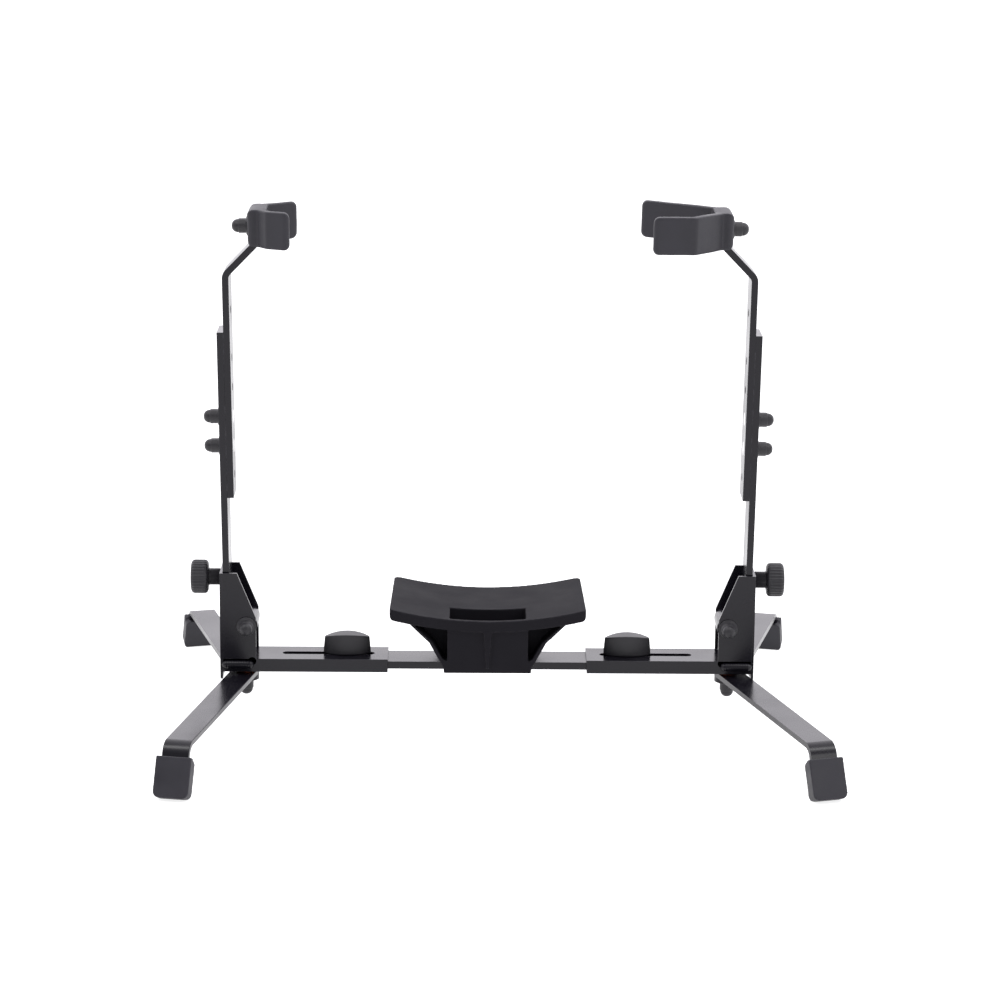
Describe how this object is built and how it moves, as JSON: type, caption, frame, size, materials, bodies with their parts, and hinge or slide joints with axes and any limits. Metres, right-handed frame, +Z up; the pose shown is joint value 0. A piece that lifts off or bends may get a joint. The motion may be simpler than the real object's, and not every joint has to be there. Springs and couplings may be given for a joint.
{
  "type": "guitar rack",
  "caption": "Folding floor stand: two padded cradles on hinged, height-adjustable arms, sliding tubes on a crossbar with a curved saddle, and swing-out legs with rubber feet.",
  "frame": {"origin": "on the floor, under the middle of the crossbar; the legs are turned by unequal angles, so the middle of the whole box's floor lies 2.7 mm to +X and 1.7 mm to -Y of it", "axes": "+X to the viewer's right along the crossbar, +Y to the back, +Z up"},
  "size_m": [0.5109, 0.4172, 0.3987],
  "materials": {
    "black_steel": "satin black powder coat",
    "black_plastic": "fine-grained moulded plastic",
    "black_rubber": "matt rubber",
    "zinc_steel": "bright zinc plate",
    "red_washer": "red fibre or plastic washer"
  },
  "bodies": {
    "middle": {"crossbar": "black_steel", "saddle": "black_plastic", "saddle_screws": "zinc_steel", "left_wing_stud": "zinc_steel", "right_wing_stud": "zinc_steel"},
    "left_slide": {"left_tube": "black_steel", "left_bracket": "black_steel", "left_leg_bolt": "zinc_steel", "left_red_washer": "red_washer", "left_leg_nut": "black_plastic", "left_hinge_bolt": "zinc_steel", "left_hinge_nuts": "black_plastic"},
    "left_arm": {"left_lower_bar": "black_steel", "left_upper_bar": "black_steel", "left_bar_screws": "zinc_steel", "left_bar_nuts": "black_plastic", "left_cradle": "black_rubber", "left_cradle_screw": "zinc_steel", "left_cradle_nut": "black_plastic"},
    "left_front_leg": {"left_front_leg": "black_steel", "left_front_foot": "black_rubber"},
    "left_back_leg": {"left_back_leg": "black_steel", "left_back_foot": "black_rubber"},
    "left_lock": {"left_lock_knob": "black_plastic"},
    "left_wing": {"left_wing_knob": "black_plastic"},
    "right_slide": {"right_tube": "black_steel", "right_bracket": "black_steel", "right_leg_bolt": "zinc_steel", "right_red_washer": "red_washer", "right_leg_nut": "black_plastic", "right_hinge_bolt": "zinc_steel", "right_hinge_nuts": "black_plastic"},
    "right_arm": {"right_lower_bar": "black_steel", "right_upper_bar": "black_steel", "right_bar_screws": "zinc_steel", "right_bar_nuts": "black_plastic", "right_cradle": "black_rubber", "right_cradle_screw": "zinc_steel", "right_cradle_nut": "black_plastic"},
    "right_front_leg": {"right_front_leg": "black_steel", "right_front_foot": "black_rubber"},
    "right_back_leg": {"right_back_leg": "black_steel", "right_back_foot": "black_rubber"},
    "right_lock": {"right_lock_knob": "black_plastic"},
    "right_wing": {"right_wing_knob": "black_plastic"}
  },
  "joints": [
    {"name": "left_tube_slide", "type": "slide", "parent": "middle", "child": "left_slide", "axis": [1, 0, 0], "range_m": [-0.0175, 0.039]},
    {"name": "right_tube_slide", "type": "slide", "parent": "middle", "child": "right_slide", "axis": [1, 0, 0], "range_m": [-0.039, 0.0175]},
    {"name": "left_arm_fold", "type": "hinge", "parent": "left_slide", "child": "left_arm", "pos_m": [-0.1845, 0, 0.0771], "axis": [0, 1, 0], "range_deg": [0, 72]},
    {"name": "right_arm_fold", "type": "hinge", "parent": "right_slide", "child": "right_arm", "pos_m": [0.1845, 0, 0.0771], "axis": [0, 1, 0], "range_deg": [-72, 0]},
    {"name": "left_front_leg_turn", "type": "hinge", "parent": "left_slide", "child": "left_front_leg", "pos_m": [-0.186, 0, 0.037], "axis": [0, 0, 1], "range_deg": [-5.5, 93.2]},
    {"name": "left_back_leg_turn", "type": "hinge", "parent": "left_slide", "child": "left_back_leg", "pos_m": [-0.186, 0, 0.0329], "axis": [0, 0, 1], "range_deg": [-97, 75]},
    {"name": "right_front_leg_turn", "type": "hinge", "parent": "right_slide", "child": "right_front_leg", "pos_m": [0.186, 0, 0.037], "axis": [0, 0, 1], "range_deg": [-98.4, 1.5]},
    {"name": "right_back_leg_turn", "type": "hinge", "parent": "right_slide", "child": "right_back_leg", "pos_m": [0.186, 0, 0.0329], "axis": [0, 0, 1], "range_deg": [-76.2, 95.8]},
    {"name": "left_lock_turn", "type": "hinge", "parent": "left_slide", "child": "left_lock", "pos_m": [-0.221, 0, 0.1119], "axis": [1, 0, 0], "continuous": true},
    {"name": "left_wing_turn", "type": "hinge", "parent": "middle", "child": "left_wing", "pos_m": [-0.108, 0, 0.058], "axis": [0, 0, 1], "continuous": true},
    {"name": "right_lock_turn", "type": "hinge", "parent": "right_slide", "child": "right_lock", "pos_m": [0.221, 0, 0.1119], "axis": [1, 0, 0], "continuous": true},
    {"name": "right_wing_turn", "type": "hinge", "parent": "middle", "child": "right_wing", "pos_m": [0.108, 0, 0.058], "axis": [0, 0, 1], "continuous": true}
  ]
}
